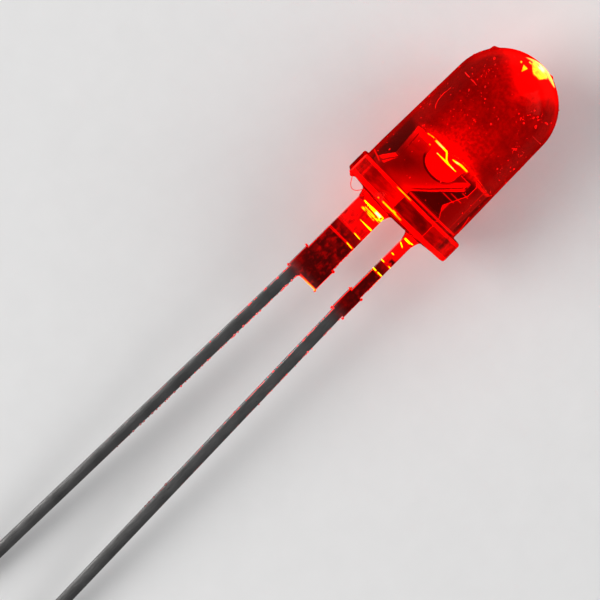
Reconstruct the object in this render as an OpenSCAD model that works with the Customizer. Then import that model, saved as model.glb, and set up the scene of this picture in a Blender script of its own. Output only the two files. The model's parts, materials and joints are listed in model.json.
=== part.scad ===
// A 5 mm through-hole LED: a domed clear red resin body, cast round a stamped steel
// lead frame that carries the reflector cup, the chip and its bond wire.
//
// Every piece is drawn upright first: the lens axis is +Z with the dome on top, the
// underside of the flange is Z = 0, +X points to the flat on the flange (the cathode
// side) and the leads lie in the XZ plane. at_rest() then lays the whole lamp on its
// side, as it comes to rest on its flange rim and both lead tips. The origin is the
// centre of the flange's underside. All sizes are in millimetres.

/* [Lens] */
// Diameter of the straight barrel just above the flange
lens_d = 5.0; // [4.9:0.05:5.1]
// Height of that straight barrel, before the moulding draft begins
barrel_h = 0.8; // [0.4:0.1:2]
// Draft of the barrel above that, up to the dome
draft_angle = 1.2; // [0:0.1:2]
// Height of the dome's tip over the flange's underside
lens_h = 8.7; // [8:0.1:10]
// Diameter of the flange
flange_d = 5.8; // [5.7:0.05:6.4]
// Height of the flange
flange_h = 1.0; // [0.8:0.05:1.5]
// Distance from the lens axis to the flat that marks the cathode
flat_reach = 2.62; // [2.6:0.01:2.75]
// Radius on the flange's edges
flange_edge_r = 0.1; // [0.05:0.01:0.15]
// Radius where the barrel runs into the flange
root_r = 0.08; // [0.03:0.01:0.12]

/* [Resin underside] */
// How far the cast underside sags below the flange
sag_h = 0.2; // [0.05:0.01:0.25]
// Diameter of the sag where it starts
sag_d = 5.1; // [4.6:0.1:5.2]
// How far the resin creeps down the leads
creep_h = 0.45; // [0.3:0.05:0.8]
// How far the creep spreads out from a lead at its top
creep_w = 0.26; // [0.15:0.01:0.3]
// Thickness of the resin at the creep's lower edge
creep_edge = 0.02; // [0.01:0.005:0.03]

/* [Leads] */
// Distance between the centres of the two leads
lead_pitch = 2.54; // [2.44:0.02:2.64]
// Width of a lead
lead_w = 0.5; // [0.4:0.01:0.55]
// Thickness of the steel strip
strip_t = 0.5; // [0.4:0.01:0.6]
// Length of the short lead, the cathode
cathode_len = 25.5; // [15:0.5:28]
// Length of the long lead, the anode
anode_len = 27.0; // [16:0.5:30]
// Angle by which the cathode leans outwards below its shoulder
cathode_splay = 1.4; // [0:0.1:3]
// Angle by which the anode leans outwards below its shoulder
anode_splay = 1.5; // [0:0.1:3]
// Width of the cathode's broad blade above the shoulder
blade_w = 1.4; // [1.2:0.02:1.5]
// How far the shoulder lies below the flange
shoulder_z = 4.55; // [4:0.05:5.5]
// Height of the stubs left where the tie bar was cut away
stub_h = 1.05; // [0.6:0.05:1.2]
// How far those stubs stand proud of the lead's edges
stub_w = 0.08; // [0.04:0.01:0.12]
// Radius in the corner under the cathode's shoulder
shoulder_r = 0.24; // [0.1:0.01:0.3]
// Distance from the flange to the coined band across both leads
coin_z = 1.7; // [1.2:0.05:2]
// Height of the coined band
coin_h = 0.52; // [0.3:0.02:0.7]
// Depth of the coined band
coin_depth = 0.04; // [0.02:0.01:0.06]
// Chamfer on the cropped lead tips
tip_chamfer = 0.1; // [0.05:0.01:0.15]

/* [Reflector cup] */
// Height of the cup's rim over the flange's underside
rim_z = 3.4; // [3.2:0.05:4]
// Outside diameter of the cup's bowl
bowl_d = 1.2; // [1.16:0.02:1.3]
// Height of the bowl's straight wall, over its round bottom
bowl_wall_h = 0.62; // [0.55:0.01:0.8]
// How far the collar round the cup's mouth stands out from the bowl
collar_w = 0.05; // [0.02:0.01:0.08]
// Height of that collar
collar_h = 0.38; // [0.2:0.02:0.5]
// Diameter of the cup's mouth
mouth_d = 1.02; // [0.9:0.02:1.1]
// Diameter of the cup's floor
floor_d = 0.62; // [0.6:0.01:0.7]
// Depth of the cup
cup_depth = 0.36; // [0.3:0.01:0.4]
// How far the anvil reaches from the axis on the flat's side
anvil_out = 1.2; // [1.1:0.02:1.3]
// How far the anvil's waist reaches on that side
waist_out = 1.11; // [1:0.01:1.2]
// Height of the waist over the flange's underside
waist_z = 1.85; // [1.75:0.05:2.1]
// How far the anvil's tip reaches from the axis towards the post
anvil_tip = 0.93; // [0.8:0.01:0.95]
// Height of that blunt tip
tip_h = 0.4; // [0.2:0.02:0.6]
// How far the anvil's outer corner lies under the rim
anvil_drop = 0.1; // [0.04:0.01:0.2]
// How far the top of its tip lies under the rim
tip_drop = 0.32; // [0.22:0.01:0.4]

/* [Post] */
// How far the post's top lies under the cup's rim
post_drop = 0.06; // [0.02:0.01:0.1]
// Distance from the axis to the post's knee, its nearest point to the anvil
post_knee = 0.8; // [0.7:0.01:0.9]
// Height of the knee
knee_z = 1.66; // [1.6:0.02:1.8]
// Height of the post's neck, where its inner side is furthest from the anvil
neck_z = 2.68; // [2.4:0.02:2.8]
// How far the neck's inner side is set back from the lead's
neck_set = 0.14; // [0.08:0.01:0.18]
// How far the post's head spreads on both sides
head_w = 0.14; // [0.05:0.01:0.2]
// Height of the head
head_h = 0.16; // [0.1:0.02:0.3]

/* [Chip and bond wire] */
// Side of the square chip
chip_w = 0.3; // [0.2:0.01:0.32]
// Height of the chip
chip_h = 0.2; // [0.12:0.01:0.22]
// Thickness of the silver glue under the chip
glue_t = 0.02; // [0.01:0.005:0.03]
// How far the glue climbs the chip's sides
glue_climb = 0.05; // [0.03:0.01:0.08]
// Gap between the glue and the cup's wall
glue_gap = 0.02; // [0.01:0.005:0.03]
// Diameter of the gold bond wire
wire_d = 0.04; // [0.03:0.002:0.05]
// Diameter of the ball that bonds the wire to the chip
ball_d = 0.11; // [0.09:0.005:0.13]
// Radius of the wire's loop over the chip
loop_r = 0.13; // [0.1:0.01:0.16]
// Slope of the wire's long run down to the post
wire_slope = 9; // [9:1:18]

/* [Hidden] */

$fn = 96;
over = 1;                       // how far a cutting shape runs past what it cuts

flange_r = flange_d / 2;
lens_r = lens_d / 2;
barrel_z = flange_h + barrel_h;
dome_r = (lens_r - (lens_h - barrel_z) * tan(draft_angle)) / (1 - tan(draft_angle));
dome_z = lens_h - dome_r;
throat_z = flange_h + root_r;
sag_r = (pow(sag_d / 2, 2) + sag_h * sag_h) / (2 * sag_h);
creep_r = (creep_w * creep_w + creep_h * creep_h) / (2 * creep_w);

lead_in = (lead_pitch - lead_w) / 2;
lead_out = (lead_pitch + lead_w) / 2;
blade_in = lead_out - blade_w;
stub_z = shoulder_z - stub_h;   // where the stubs start, below the flange

bowl_r = bowl_d / 2;
bowl_z = rim_z - bowl_wall_h;   // centre of the bowl's round bottom
cup_floor_z = rim_z - cup_depth;
post_z = rim_z - post_drop;
head_mid = lead_pitch / 2 + neck_set / 2;
neck_in = lead_in + neck_set;

chip_z = cup_floor_z + glue_t;
chip_top = chip_z + chip_h;
chip_corner = chip_w / sqrt(2); // from the chip's centre to its corner

wire_r = wire_d / 2;
bend_wire_r = 1.05 * wire_r;    // bends are a hair fatter, so that the straight runs end inside them
lap = wire_r / 2;               // how far a straight run goes into a bend
ball_h = 0.4 * ball_d;
ball_neck_h = 0.2 * ball_d;
rise_z = chip_top + ball_h + ball_neck_h;
run = (head_mid - loop_r * (1 + sin(wire_slope))) / cos(wire_slope);
loop_z = post_z + run * sin(wire_slope) - loop_r * cos(wire_slope);
stitch_d = 2.4 * wire_d;        // the flattened end of the wire
stitch_t = 0.4 * wire_d;

// The floor touches the flange's rim and both lead tips, so its normal, in the upright
// frame, is [floor_x, floor_y, 1] times some length, with the tips at equal heights.
function lean(angle, length) = (length - shoulder_z) * tan(angle);
cathode_tip_x = lead_pitch / 2 + lean(cathode_splay, cathode_len);
anode_tip_x = -lead_pitch / 2 - lean(anode_splay, anode_len);
floor_x = (anode_len - cathode_len) / (anode_tip_x - cathode_tip_x);
tip_y = -strip_t / 2;
tip_level = floor_x * anode_tip_x - anode_len;
rim_term = flange_r * flange_r - tip_y * tip_y;
floor_y = (tip_level * tip_y + sqrt(pow(tip_level * tip_y, 2)
    + rim_term * (pow(tip_level, 2) - pow(flange_r * floor_x, 2)))) / rim_term;
rest_roll = atan2(floor_x, floor_y);
rest_tilt = atan2(1, norm([floor_x, floor_y]));

// Lays an upright piece down: the dome points along +X and the cathode side along +Y.
module at_rest() {
    rotate([0, -rest_tilt, 0]) rotate([90, 0, 90]) rotate([0, 0, rest_roll]) children();
}

// ---- Lens -----------------------------------------------------------------------

// The flange's half section, with both outer edges rounded.
module flange_section() {
    square([flange_r - flange_edge_r, flange_h]);
    translate([0, flange_edge_r]) square([flange_r, flange_h - 2 * flange_edge_r]);
    for (z = [flange_edge_r, flange_h - flange_edge_r])
        translate([flange_r - flange_edge_r, z]) circle(flange_edge_r);
}

// The barrel's half section: straight, then drafted up to the dome, which is a half ball.
module barrel_section() {
    polygon([[0, flange_h / 2], [lens_r, flange_h / 2], [lens_r, barrel_z],
             [dome_r, dome_z], [0, dome_z]]);
    difference() {
        translate([0, flange_h / 2]) square([lens_r + root_r, throat_z - flange_h / 2]);
        translate([lens_r + root_r, throat_z]) circle(root_r);
    }
    intersection() {
        translate([0, dome_z]) circle(dome_r);
        translate([0, dome_z]) square(dome_r);
    }
}

// The cast underside is a shallow bulge, a cap of a large ball.
module sag_section() {
    intersection() {
        translate([0, sag_r - sag_h]) circle(sag_r);
        translate([0, -sag_h]) square([sag_d / 2, sag_h + flange_h / 2]);
    }
}

// Half of the creep's section on a lead: a concave fillet that thins out downwards.
module creep_section() {
    edge = strip_t / 2 + creep_edge;
    difference() {
        translate([0, -creep_h]) square([edge + creep_w, creep_h + flange_h / 2]);
        translate([edge + creep_r, -creep_h]) circle(creep_r);
    }
}

// Resin that has crept down a lead of the given width.
module creep(width) {
    half_run = (width - strip_t) / 2;
    for (side = [-1, 1]) translate([side * half_run, 0, 0]) rotate_extrude() creep_section();
    if (half_run > 0) rotate([90, 0, 90]) linear_extrude(2 * half_run, center = true) {
        creep_section();
        mirror([1, 0]) creep_section();
    }
}

module lens_outside() {
    difference() {
        rotate_extrude() {
            flange_section();
            barrel_section();
        }
        translate([flat_reach, -flange_r, -over]) cube([flange_r, flange_d, flange_h + 2 * over]);
    }
    rotate_extrude() sag_section();
    translate([lead_out - blade_w / 2, 0, 0]) creep(blade_w);
    translate([-lead_pitch / 2, 0, 0]) creep(strip_t);
}

// The resin fills everything round the pieces that it was cast over.
module lens_body() {
    color("red", 0.6) difference() {
        lens_outside();
        cathode_steel();
        anode_steel();
        chip_block();
        glue_fillet();
        wire_path();
    }
}

// ---- Lead frame -----------------------------------------------------------------

// A flat outline in X and Z, stamped out of the strip.
module stamped() {
    rotate([90, 0, 0]) linear_extrude(strip_t, center = true) children();
}

// The lead's end, from its outer edge at the shoulder round the chamfered tip and back.
function tip_points(length, angle) =
    let (shift = lean(angle, length), above = lean(angle, length - tip_chamfer))
    [[lead_out, -shoulder_z],
     [lead_out + above, tip_chamfer - length],
     [lead_out + shift - tip_chamfer, -length],
     [lead_in + shift + tip_chamfer, -length],
     [lead_in + above, tip_chamfer - length],
     [lead_in, -shoulder_z]];

// The tie bar's stub on one edge: it stands proud by the given width, down to the shoulder.
function stub_points(edge, proud) =
    [[edge, -stub_z], [edge + proud, -stub_z], [edge + proud, -shoulder_z]];

function reversed(points) = [for (i = [len(points) - 1 : -1 : 0]) points[i]];

// The coined band that is pressed into both faces of a lead.
module coined_band() {
    for (face = [-1, 1])
        translate([-lead_pitch, face * strip_t / 2 - coin_depth, -coin_z - coin_h])
            cube([2 * lead_pitch, 2 * coin_depth, coin_h]);
}

module cathode_outline() {
    corner = [lead_in - shoulder_r, -shoulder_z - shoulder_r];
    polygon(concat(
        [[-anvil_tip, rim_z - tip_drop], [-bowl_r / 2, rim_z - tip_drop],
         [bowl_r / 2, rim_z - anvil_drop], [anvil_out, rim_z - anvil_drop],
         [waist_out, waist_z], [lead_out, throat_z]],
        stub_points(lead_out, stub_w),
        tip_points(cathode_len, cathode_splay),
        reversed(stub_points(blade_in, -stub_w)),
        [[blade_in, throat_z], [-anvil_tip, rim_z - tip_drop - tip_h]]));
    difference() {
        translate(corner) square([shoulder_r + lead_w / 2, 2 * shoulder_r]);
        translate(corner) circle(shoulder_r);
    }
}

// The bowl is coined out of the strip's end, and stands out on both of its faces.
module bowl() {
    rotate_extrude() {
        translate([0, bowl_z]) square([bowl_r, bowl_wall_h]);
        translate([0, rim_z - collar_h]) square([bowl_r + collar_w, collar_h]);
        intersection() {
            translate([0, bowl_z]) circle(bowl_r);
            translate([0, bowl_z - bowl_r]) square([bowl_r, bowl_r]);
        }
    }
}

module cup_recess() {
    flare = (mouth_d - floor_d) / 2 / cup_depth;
    translate([0, 0, cup_floor_z])
        cylinder(h = cup_depth + over, r1 = floor_d / 2, r2 = mouth_d / 2 + over * flare);
}

module cathode_steel() {
    difference() {
        union() {
            stamped() cathode_outline();
            bowl();
        }
        cup_recess();
        coined_band();
    }
}

module anode_outline() {
    polygon(concat(
        [[neck_in - head_w, post_z], [lead_out + head_w, post_z], [lead_out, post_z - head_h]],
        stub_points(lead_out, stub_w),
        tip_points(anode_len, anode_splay),
        reversed(stub_points(lead_in, -stub_w)),
        [[lead_in, throat_z], [post_knee, knee_z], [neck_in, neck_z], [neck_in, post_z - head_h]]));
}

module anode_steel() {
    difference() {
        mirror([1, 0, 0]) stamped() anode_outline();
        coined_band();
    }
}

module cathode_lead() {
    color("silver") cathode_steel();
}

module anode_lead() {
    color("silver") anode_steel();
}

// ---- Chip -----------------------------------------------------------------------

module chip_block() {
    translate([-chip_w / 2, -chip_w / 2, chip_z]) cube([chip_w, chip_w, chip_h]);
}

module led_chip() {
    color("orangered") chip_block();
}

// Silver glue under the chip, with a fillet part of the way up its sides.
module glue_fillet() {
    difference() {
        translate([0, 0, cup_floor_z])
            cylinder(h = glue_t + glue_climb, r1 = floor_d / 2 - glue_gap, r2 = chip_corner + glue_gap);
        chip_block();
    }
}

module chip_glue() {
    color("gainsboro") glue_fillet();
}

// ---- Bond wire ------------------------------------------------------------------

// A straight stretch of wire in the XZ plane; an angle of 90 points up.
module wire_run(x, z, angle, length) {
    translate([x, 0, z]) rotate([0, 90 - angle, 0])
        translate([0, 0, -lap]) cylinder(h = length + 2 * lap, r = wire_r, $fn = 24);
}

// The loop: from straight up over the chip to the slope of the long run.
module wire_loop() {
    translate([loop_r, 0, loop_z]) rotate([90, 0, 0]) rotate([0, 0, 90 - wire_slope])
        rotate_extrude(angle = 90 + wire_slope) translate([loop_r, 0]) circle(bend_wire_r, $fn = 24);
}

// The long run, pressed flat where it meets the post's top, and the stitch there.
module wire_to_post() {
    difference() {
        wire_run(loop_r * (1 + sin(wire_slope)), loop_z + loop_r * cos(wire_slope),
                 -wire_slope, run + wire_d / sin(wire_slope));
        translate([0, -over / 2, post_z - over]) cube([head_mid + over, over, over]);
    }
    translate([head_mid, 0, post_z]) cylinder(h = stitch_t, d = stitch_d);
}

// Ball on the chip, a straight rise, the loop and the run down to the post.
module wire_path() {
    mirror([1, 0, 0]) {
        translate([0, 0, chip_top]) cylinder(h = ball_h, d = ball_d);
        translate([0, 0, chip_top + ball_h]) cylinder(h = ball_neck_h, r1 = ball_d / 2, r2 = bend_wire_r);
        wire_run(0, rise_z, 90, loop_z - rise_z);
        wire_loop();
        wire_to_post();
    }
}

module bond_wire() {
    color("gold") wire_path();
}

at_rest() lens_body();
at_rest() cathode_lead();
at_rest() anode_lead();
at_rest() led_chip();
at_rest() chip_glue();
at_rest() bond_wire();
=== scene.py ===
# Looks for a lit red 5 mm through-hole LED: clear resin lens, lead frame, chip and bond wire.
#
# Pieces are modelled in the lamp's own frame, in millimetres: Z runs up the lens axis from the
# underside of the flange to the dome, X points to the flat that marks the cathode, and Y is the
# front, which faces up as the lamp lies. place() then turns each mesh into the shared frame.

import json
import math
import random

import bmesh
import bpy
from mathutils import Matrix, Vector, noise


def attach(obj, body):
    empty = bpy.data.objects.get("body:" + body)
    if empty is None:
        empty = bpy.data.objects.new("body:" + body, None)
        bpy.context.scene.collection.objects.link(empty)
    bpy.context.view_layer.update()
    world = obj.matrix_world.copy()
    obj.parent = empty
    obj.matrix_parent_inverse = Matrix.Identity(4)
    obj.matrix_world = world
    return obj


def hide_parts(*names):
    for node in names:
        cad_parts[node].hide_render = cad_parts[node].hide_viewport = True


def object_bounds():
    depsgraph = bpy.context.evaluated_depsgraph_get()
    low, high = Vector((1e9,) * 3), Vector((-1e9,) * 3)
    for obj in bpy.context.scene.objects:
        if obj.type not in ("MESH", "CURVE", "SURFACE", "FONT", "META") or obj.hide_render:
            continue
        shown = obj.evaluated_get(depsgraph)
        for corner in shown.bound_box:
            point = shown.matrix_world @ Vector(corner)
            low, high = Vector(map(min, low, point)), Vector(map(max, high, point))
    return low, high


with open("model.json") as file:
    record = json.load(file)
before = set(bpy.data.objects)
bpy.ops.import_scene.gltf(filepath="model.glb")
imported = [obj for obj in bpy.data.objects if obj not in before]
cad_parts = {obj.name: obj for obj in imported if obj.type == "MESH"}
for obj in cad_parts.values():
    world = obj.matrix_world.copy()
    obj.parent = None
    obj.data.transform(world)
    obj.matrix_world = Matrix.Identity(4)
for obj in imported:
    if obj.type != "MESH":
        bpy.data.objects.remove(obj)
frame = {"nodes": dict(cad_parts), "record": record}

cad_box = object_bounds()

# ---- The lamp's frame and sizes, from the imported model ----

MM = 0.001
X, Y, Z = range(3)
STRAIGHT = (-3, -1)       # heights between which the blade and the stem run straight
MOUNTS = {mount["name"]: mount for mount in frame["record"]["mounts"]}
UP = Vector(MOUNTS["barrel"]["axis"]).normalized()
SIDE = Vector(MOUNTS["cathode_flat"]["axis"]).normalized()
FRONT = UP.cross(SIDE)
LAMP_TO_ROW = Matrix((SIDE, FRONT, UP)).transposed()


def lamp_height(name):
    """How high a mount's centre lies over the flange's underside, in millimetres."""
    return Vector(MOUNTS[name]["pos_m"]).dot(UP) / MM


def lamp_points(node):
    """A CAD node's corners in the lamp's frame, in millimetres."""
    turn = LAMP_TO_ROW.transposed()
    return [turn @ v.co / MM for v in frame["nodes"][node].data.vertices]


def span(points, axis):
    """The lowest and highest value of the points along one axis."""
    values = [p[axis] for p in points]
    return min(values), max(values)


def slab(points, low, high):
    """Those of the points that lie between two heights."""
    return [p for p in points if low < p.z < high]


def sphere_radius(points, top):
    """The radius of a dome with its tip at a height, from points on the dome."""
    radii = [(p.x ** 2 + p.y ** 2 + (top - p.z) ** 2) / (2 * (top - p.z)) for p in points]
    return sum(radii) / len(radii)


LENS_R = MOUNTS["barrel"]["dims"]["r_mm"]
FLANGE_R = MOUNTS["flange_rim"]["dims"]["r_mm"]
FLANGE_H = lamp_height("flange_front")
FLAT_X = Vector(MOUNTS["cathode_flat"]["pos_m"]).dot(SIDE) / MM
EDGE_R = (FLANGE_H - MOUNTS["flange_rim"]["dims"]["length_mm"]) / 2
STRAIGHT_H = MOUNTS["barrel"]["dims"]["length_mm"]
ROOT_R = lamp_height("barrel") - STRAIGHT_H / 2 - FLANGE_H
BARREL_TOP = FLANGE_H + ROOT_R + STRAIGHT_H

lens_points = lamp_points("lens_body")
LENS_H = span(lens_points, Z)[1]
DOME_R = sphere_radius(slab(lens_points, LENS_H - 1.5, LENS_H - 0.5), LENS_H)
DOME_Z = LENS_H - DOME_R

cathode_points = lamp_points("cathode_lead")
anode_points = lamp_points("anode_lead")
stem = slab(anode_points, *STRAIGHT)
BLADE_X = span(slab(cathode_points, *STRAIGHT), X)
STEM_X = span(stem, X)
STEM_W = STEM_X[1] - STEM_X[0]
STRIP_Y = span(stem, Y)[1]
HALF_PITCH = (BLADE_X[1] - STEM_X[1]) / 2     # from the lens axis to a lead's middle
RIM_Z = span(cathode_points, Z)[1]
POST_Z = span(anode_points, Z)[1]
BOWL_R = span(cathode_points, Y)[1]
stub = [p for p in cathode_points if p.z < STRAIGHT[0] and p.x < BLADE_X[0] - 0.03]
SHOULDER_Z, STUB_TOP = span(stub, Z)
STUB_W = BLADE_X[0] - span(stub, X)[0]
notch = [p for p in cathode_points if 0 < p.z and p.y > 0.2 and p.x < BLADE_X[0] + 0.02]
NOTCH_Z = span(notch, Z)[0]
notch_tip = min(notch, key=lambda p: (round(p.x, 2), p.z))
NOTCH_SLOPE = (BLADE_X[0] - notch_tip.x) / (notch_tip.z - NOTCH_Z)

chip_points = lamp_points("led_chip")
glue_points = lamp_points("chip_glue")
wire_points = lamp_points("bond_wire")


# ---- Making meshes ----

MERGE = 1e-4              # corners closer than this are one corner
CREASE = math.radians(35)    # an edge is sharp from this angle on


def place(mesh):
    """Turns a mesh from the lamp's frame, in millimetres, into the shared frame in metres."""
    mesh.transform(LAMP_TO_ROW.to_4x4() @ Matrix.Scale(MM, 4))
    mesh.update()


def add_object(name, data):
    """Puts a mesh, a light or a camera into the scene."""
    thing = bpy.data.objects.new(name, data)
    bpy.context.scene.collection.objects.link(thing)
    return thing


def new_piece(bm, name, materials, replaces=()):
    """Makes a placed piece of the mesh, smoothly shaded but for its sharp edges."""
    mesh = bpy.data.meshes.new(name)
    bm.to_mesh(mesh)
    bm.free()
    place(mesh)
    for polygon in mesh.polygons:
        polygon.use_smooth = True
    mesh.set_sharp_from_angle(angle=CREASE)
    for material in materials:
        mesh.materials.append(material)
    piece = add_object(name, mesh)
    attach(piece, "root")
    if replaces:
        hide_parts(*replaces)


def chain(bm, points):
    """A run of edges through points given as distance from the lens axis and height."""
    verts = [bm.verts.new((r, 0, z)) for r, z in points]
    edges = [bm.edges.new(pair) for pair in zip(verts, verts[1:])]
    return verts, edges


def spin_round(bm, steps):
    """Spins everything in the mesh once round the lens axis into a closed skin."""
    bmesh.ops.spin(bm, geom=bm.verts[:] + bm.edges[:], cent=(0, 0, 0), axis=(0, 0, 1),
                   angle=math.tau, steps=steps, use_merge=True)
    bmesh.ops.remove_doubles(bm, verts=bm.verts, dist=MERGE)
    bmesh.ops.recalc_face_normals(bm, faces=bm.faces)


def bevel(bm, edges, radius, segments):
    """Rounds edges to a radius, and returns the new faces."""
    return bmesh.ops.bevel(bm, geom=edges, offset=radius, segments=segments, affect="EDGES",
                           profile=0.5, material=-1)["faces"]


def add_tube(bm, points, radius, sides=8):
    """Adds a round tube with closed ends along the points."""
    curve = bpy.data.curves.new("path", "CURVE")
    curve.dimensions = "3D"
    curve.bevel_depth = radius
    curve.bevel_resolution = max(0, sides // 4 - 1)
    curve.use_fill_caps = True
    spline = curve.splines.new("POLY")
    spline.points.add(len(points) - 1)
    for target, point in zip(spline.points, points):
        target.co = (*point, 1)
    holder = bpy.data.objects.new("path", curve)
    mesh = bpy.data.meshes.new_from_object(holder)
    bm.from_mesh(mesh)
    bpy.data.objects.remove(holder)
    bpy.data.meshes.remove(mesh)
    bpy.data.curves.remove(curve)


def add_grain(bm, at, size, turn=None, detail=1):
    """Adds a small rounded grain: its three sizes are half widths."""
    matrix = Matrix.Translation(at) @ (turn or Matrix.Identity(4)) @ Matrix.Diagonal((*size, 1))
    bmesh.ops.create_icosphere(bm, subdivisions=detail, radius=1, matrix=matrix)


# ---- Lens ----

LENS_STEPS = 192
SAG = 0.2                 # depth of the cast underside's bulge
SAG_R = 2.5
CREEP_H = 0.40            # how far below that bulge the resin has crept down the leads
CREEP_W = 0.24
RIPPLE = 0.012            # unevenness of the wet underside
DRIP = (2.42, 0.55, 0.13, 0.16)         # x, y, radius and depth of a drip by the flat
LUMPS = ((1.86, 7.77, 0.13, 0.10), (-0.66, 8.62, 0.10, 0.07))  # x, z, radius and height


def lens_radius(z):
    """The lens's radius at a height over the flange."""
    if z > DOME_Z:
        return math.sqrt(max(0, DOME_R ** 2 - (z - DOME_Z) ** 2))
    if z < BARREL_TOP:
        return LENS_R
    return LENS_R + (DOME_R - LENS_R) * (z - BARREL_TOP) / (DOME_Z - BARREL_TOP)


def lens_outline(bm):
    """Half of the lens's section, from the underside's centre to the dome's tip."""
    corners = [(0, 0), (SAG_R, 0), (FLANGE_R, 0), (FLANGE_R, FLANGE_H), (LENS_R, FLANGE_H),
               (LENS_R, BARREL_TOP), (DOME_R, DOME_Z)]
    verts, edges = chain(bm, corners)
    underside, underside_rim, barrel = edges[0], edges[1], edges[5]
    bmesh.ops.spin(bm, geom=[verts[-1]], cent=(0, 0, DOME_Z), axis=(0, -1, 0),
                   angle=math.pi / 2, steps=56)
    for edge, cuts in ((underside, 60), (underside_rim, 4), (barrel, 24)):
        bmesh.ops.subdivide_edges(bm, edges=[edge], cuts=cuts)


def cut_flat(bm):
    """Cuts the flat into the flange and closes it with one face."""
    bmesh.ops.bisect_plane(bm, geom=bm.verts[:] + bm.edges[:] + bm.faces[:], dist=1e-5,
                           plane_co=(FLAT_X, 0, 0), plane_no=(1, 0, 0), clear_outer=True)
    open_edges = [e for e in bm.edges if e.is_boundary]
    bmesh.ops.holes_fill(bm, edges=open_edges, sides=0)
    bmesh.ops.recalc_face_normals(bm, faces=bm.faces)


def is_outer_edge(edge):
    """Whether an edge is on one of the flange's outer corners."""
    a, b = (v.co for v in edge.verts)
    if min(math.hypot(a.x, a.y), math.hypot(b.x, b.y)) < FLAT_X - 0.01:
        return False
    return edge.calc_face_angle(0) > math.radians(20)


def is_root_edge(edge):
    """Whether an edge is in the corner between the flange and the barrel."""
    return all(abs(v.co.z - FLANGE_H) < 1e-4 and math.hypot(v.co.x, v.co.y) < LENS_R + 1e-3
               for v in edge.verts) and edge.calc_face_angle(0) > math.radians(45)


def lead_distance(x, y, across):
    """How far a point of the underside lies outside a lead; negative inside it."""
    middle = (across[0] + across[1]) / 2
    dx = abs(x - middle) - (across[1] - across[0]) / 2
    dy = abs(y) - STRIP_Y
    outside = math.hypot(max(dx, 0), max(dy, 0))
    return outside + min(max(dx, dy), 0)


def underside_depth(x, y):
    """How far the resin hangs below the flange at a point: bulge, creep and drip."""
    radius = math.hypot(x, y)
    depth = SAG * max(0, 1 - (radius / SAG_R) ** 2)
    for across in (BLADE_X, STEM_X):
        near = max(0, 1 - max(lead_distance(x, y, across), 0) / CREEP_W)
        uneven = 1 + 0.3 * noise.noise(Vector((3 * x, 3 * y, 7)))
        depth += CREEP_H * uneven * near ** 3
    drip = math.exp(-((x - DRIP[0]) ** 2 + (y - DRIP[1]) ** 2) / DRIP[2] ** 2)
    return depth + DRIP[3] * drip + RIPPLE * noise.noise(Vector((4 * x, 4 * y, 2)))


def cast_skin(bm):
    """Moves the skin as the casting left it: the wet underside and two lumps on the dome."""
    for v in bm.verts:
        radius = math.hypot(v.co.x, v.co.y)
        if v.co.z < 0.02 and radius < FLANGE_R - EDGE_R + 0.01:
            v.co.z -= underside_depth(v.co.x, v.co.y)
        elif v.co.z > DOME_Z:
            outward = (v.co - Vector((0, 0, DOME_Z))).normalized()
            for x, z, width, height in LUMPS:
                away = Vector((v.co.x - x, v.co.y, v.co.z - z)).length
                v.co += outward * height * math.exp(-(away / width) ** 2)


def make_lens(resin):
    """The cast lens: dome, drafted barrel, flange with its flat, and the sagging underside."""
    bm = bmesh.new()
    lens_outline(bm)
    spin_round(bm, LENS_STEPS)
    cut_flat(bm)
    bevel(bm, [e for e in bm.edges if is_outer_edge(e)], EDGE_R, 4)
    bevel(bm, [e for e in bm.edges if is_root_edge(e)], ROOT_R, 3)
    cast_skin(bm)
    bmesh.ops.recalc_face_normals(bm, faces=bm.faces)
    new_piece(bm, "lens_resin", [resin], replaces=["lens_body"])


# ---- Lead frame ----

ROLLED_R = 0.03           # radius that stamping and plating leave on the strip's edges
LEAD_EDGE = 1             # the material index of those rolled edges
BURR = 2                  # the material index of the burrs and beads
SEEDS = {"cathode_lead": 12, "anode_lead": 10}
LEAN = {"cathode_lead": math.tan(math.radians(1.4)), "anode_lead": math.tan(math.radians(1.5))}
CORNER_BURRS = 3          # burrs round the bead at each corner of a stub
CORNER_BEAD = (0.055, 0.05, 0.065)
BEADS_START = SHOULDER_Z - 0.2
INNER_BEADS_END = -16.5   # how far down the beads of tin reach on a lead's inner edge
OUTER_BEADS_END = -10.0
INNER_SPACING = {"cathode_lead": 0.075, "anode_lead": 0.15}    # mean distance between beads
OUTER_SPACING = 0.45
THIN_OUT = 12             # over this length the beads grow four times as sparse
BROAD_BEADS = 14          # beads on each edge of a lead's broad part
BROAD_BEADS_TOP = -2.2
RIDGE = (                 # x, and height over the shoulder, of the ridge along it
    (1.04, -0.17), (1.00, -0.07), (0.92, -0.035), (0.7, -0.02), (0.5, -0.03), (0.3, -0.015),
    (BLADE_X[0] + 0.01, -0.02))


def stub_burrs(bm, rng, edges):
    """Burrs at the corners of the cut tie bar's stubs, on both edges of a lead."""
    for x in edges:
        for z in (STUB_TOP, SHOULDER_Z - 0.05):
            for _ in range(CORNER_BURRS):
                at = Vector((x + rng.gauss(0, 0.02), rng.uniform(-1, 1) * STRIP_Y * 0.9,
                             z + rng.gauss(0, 0.03)))
                size = rng.uniform(0.03, 0.055)
                add_grain(bm, at, (size, size * 1.4, size))
            add_grain(bm, (x, STRIP_Y * 0.85, z), CORNER_BEAD, detail=2)


def edge_beads(bm, rng, edge_x, lean, end, spacing):
    """Beads of tin along one edge of a thin lead, thinning out towards the end."""
    z = BEADS_START
    while z > end:
        size = rng.uniform(0.017, 0.034) + 0.026 * rng.random() ** 5
        x = edge_x + lean * (SHOULDER_Z - z) + rng.gauss(0, 0.008)
        add_grain(bm, (x, STRIP_Y - 0.02, z), (size, size, size * rng.uniform(1, 2)))
        z -= rng.expovariate(1 / spacing) * (1 + 3 * ((BEADS_START - z) / THIN_OUT) ** 2)


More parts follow.
